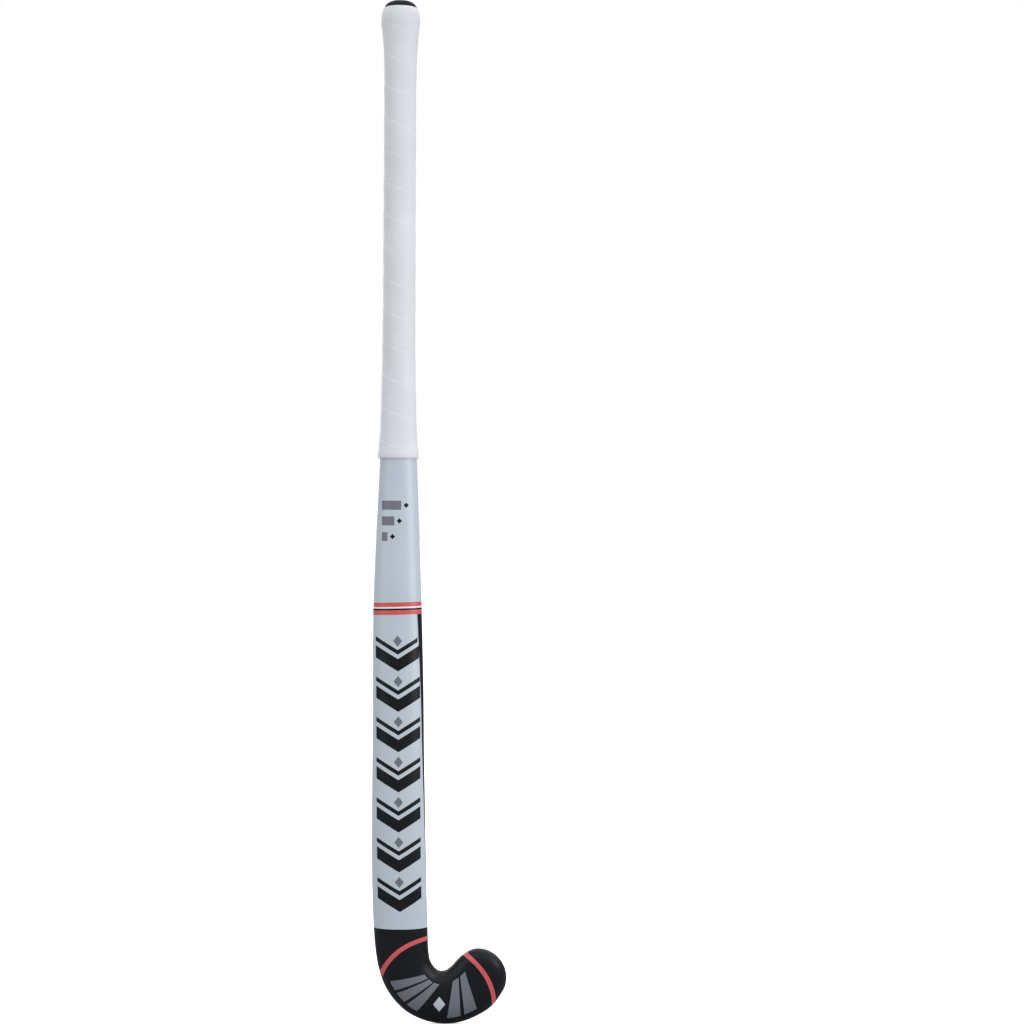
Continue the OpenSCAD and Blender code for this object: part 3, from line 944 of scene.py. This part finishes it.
def dress(piece, mat, slot, *nodes):
    """Rides the piece on the stick, gives it its finish, and hides the CAD nodes it stands for."""
    piece.data.materials.clear()
    piece.data.materials.append(mat)
    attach(piece, "root")
    if nodes:
        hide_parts(*nodes)


dress(back_shell, black_lacquer, "black_lacquer", "back_laminate")
dress(face_shell, black_lacquer, "black_lacquer", "face_laminate")
dress(upper_panel, pale_lacquer, "pale_lacquer", "upper_back_film")
dress(lower_panel, pale_lacquer, "pale_lacquer", "lower_back_film")
dress(label, black_print, "black_print", "spec_label")
ring_inks = (
    (red_print, "red_print"),
    (white_print, "white_print"),
    (black_print, "black_print"),
    (red_print, "red_print"),
)
for i, (piece, (mat, slot)) in enumerate(zip(bands, ring_inks)):
    dress(piece, mat, slot, f"band_ring_{i + 1}")
dress(grip, grip_skin, "grip_wrap", "grip_tape")
dress(collar, collar_skin, "collar_tape", "finishing_collar")
dress(cap, cap_rubber, "cap_rubber", "butt_cap")
dress(back_chevrons, black_print, "black_print")
dress(face_chevrons, pale_print, "pale_lacquer")
dress(step_diamonds, black_print, "black_print")
for piece in (back_diamonds, face_diamonds, step_bars, label_print):
    dress(piece, grey_print, "label_print")
dress(label_blocks, pale_print, "pale_lacquer")
for piece in stripes:
    dress(piece, red_print, "red_print")
for bars, dot in head_marks:
    dress(bars, grey_print, "label_print")
    dress(dot, pale_print, "pale_lacquer")
for node, mat in (
    ("centre_web", raw_laminate),
    ("shaft_core_heel", core_foam),
    ("shaft_core_toe", core_foam),
    ("head_core", core_foam),
    ("handle_plug", plug_foam),
    ("grip_underlay", cushion_foam),
):
    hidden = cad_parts[node]
    hidden.data.materials.clear()
    hidden.data.materials.append(mat)

# ---------------------------------------------------------------- camera, floor and light

DISTANCE = 1.8
VIEW_HEIGHT = 0.93
VIEW_LIFT = 0.0011
YAW = 3.3
ROLL = 0.353
SENSOR_W = 36

camera_data = bpy.data.cameras.new("camera")
camera_data.lens = SENSOR_W * DISTANCE / VIEW_HEIGHT
camera_data.clip_end = 50
camera = bpy.data.objects.new("camera", camera_data)
bpy.context.scene.collection.objects.link(camera)
end_plane = float(bow(GRIP_Z)) * 0.001
middle_z = (CAD_LOW[2] + CAD_HIGH[2]) / 2
camera.location = (0, end_plane - DISTANCE, middle_z + VIEW_LIFT)
camera.rotation_euler = (math.radians(90), math.radians(-ROLL), math.radians(-YAW))
bpy.context.scene.camera = camera

FLOOR_REACH = 30
floor_mesh = bpy.data.meshes.new("floor")
floor_signs = ((-1, -1), (1, -1), (1, 1), (-1, 1))
floor_corners = [(x * FLOOR_REACH, y * FLOOR_REACH, CAD_LOW[2]) for x, y in floor_signs]
floor_mesh.from_pydata(floor_corners, [], [(0, 1, 2, 3)])
floor = bpy.data.objects.new("floor", floor_mesh)
bpy.context.scene.collection.objects.link(floor)


def for_camera(tree, output, plain, seen):
    """Shows one shader to the camera itself and lights and mirrors with the plain one."""
    path = tree.nodes.new("ShaderNodeLightPath")
    mix = tree.nodes.new("ShaderNodeMixShader")
    tree.links.new(path.outputs["Is Camera Ray"], mix.inputs["Fac"])
    tree.links.new(plain, mix.inputs[1])
    tree.links.new(seen, mix.inputs[2])
    tree.links.new(mix.outputs["Shader"], output.inputs["Surface"])


FLOOR_SEEN = 0.9
FLOOR_GLOW = 0.55
FLOOR_BOUNCE = 0.3

floor_mat, floor_tree, floor_shader = nodes_of("floor")
floor_shader.inputs["Base Color"].default_value = (FLOOR_SEEN, FLOOR_SEEN, FLOOR_SEEN, 1)
floor_shader.inputs["Roughness"].default_value = 0.9
floor_shader.inputs["Emission Color"].default_value = (1, 1, 1, 1)
floor_shader.inputs["Emission Strength"].default_value = FLOOR_GLOW
bounce = floor_tree.nodes.new("ShaderNodeBsdfDiffuse")
bounce.inputs["Color"].default_value = (FLOOR_BOUNCE, FLOOR_BOUNCE, FLOOR_BOUNCE, 1)
for_camera(
    floor_tree,
    floor_tree.nodes["Material Output"],
    bounce.outputs["BSDF"],
    floor_shader.outputs["BSDF"],
)
floor_mesh.materials.append(floor_mat)

# A studio that is bright overhead and dim round the horizon, so black lacquer stays black
DIM = 0.24
BRIGHT = 1.43
DIM_BELOW = 0.15
BRIGHT_ABOVE = 0.6

world = bpy.data.worlds.new("studio")
bpy.context.scene.world = world
world.use_nodes = True
sky = world.node_tree
studio = sky.nodes["Background"]
studio.inputs["Color"].default_value = (0.95, 0.975, 1, 1)
direction = sky.nodes.new("ShaderNodeTexCoord")
axes = sky.nodes.new("ShaderNodeSeparateXYZ")
sky.links.new(direction.outputs["Generated"], axes.inputs["Vector"])
away = sky.nodes.new("ShaderNodeMath")
away.operation = "ABSOLUTE"
sky.links.new(axes.outputs["Z"], away.inputs[0])
glow = sky.nodes.new("ShaderNodeMapRange")
glow.interpolation_type = "SMOOTHSTEP"
glow.inputs["From Min"].default_value = DIM_BELOW
glow.inputs["From Max"].default_value = BRIGHT_ABOVE
glow.inputs["To Min"].default_value = DIM
glow.inputs["To Max"].default_value = BRIGHT
sky.links.new(away.outputs["Value"], glow.inputs["Value"])
sky.links.new(glow.outputs["Result"], studio.inputs["Strength"])
white = sky.nodes.new("ShaderNodeBackground")
white.inputs["Color"].default_value = (1, 1, 1, 1)
for_camera(sky, sky.nodes["World Output"], studio.outputs["Background"], white.outputs["Background"])


def soft_light(name, at, aim, size, power):
    """A round area light that points at aim and isn't seen itself."""
    light = bpy.data.lights.new(name, "AREA")
    light.shape = "DISK"
    light.size = size
    light.energy = power
    lamp = bpy.data.objects.new(name, light)
    bpy.context.scene.collection.objects.link(lamp)
    lamp.location = at
    lamp.rotation_euler = (Vector(aim) - Vector(at)).to_track_quat("-Z", "Y").to_euler()
    lamp.visible_camera = False


# Key lights for the back and the face, and a fill light, a little above the stick's middle
KEY_Z = middle_z + 0.08
LIGHT_SIZE = 0.9
for name, at, power in (
    ("key_back", (1.15, -0.75), 8.5),
    ("fill_back", (-1.1, -1.0), 3.5),
    ("key_face", (-0.5, 1.3), 8.5),
):
    soft_light(name, (*at, KEY_Z), (0, 0, KEY_Z), LIGHT_SIZE, power)

bpy.context.scene.view_settings.view_transform = "Standard"
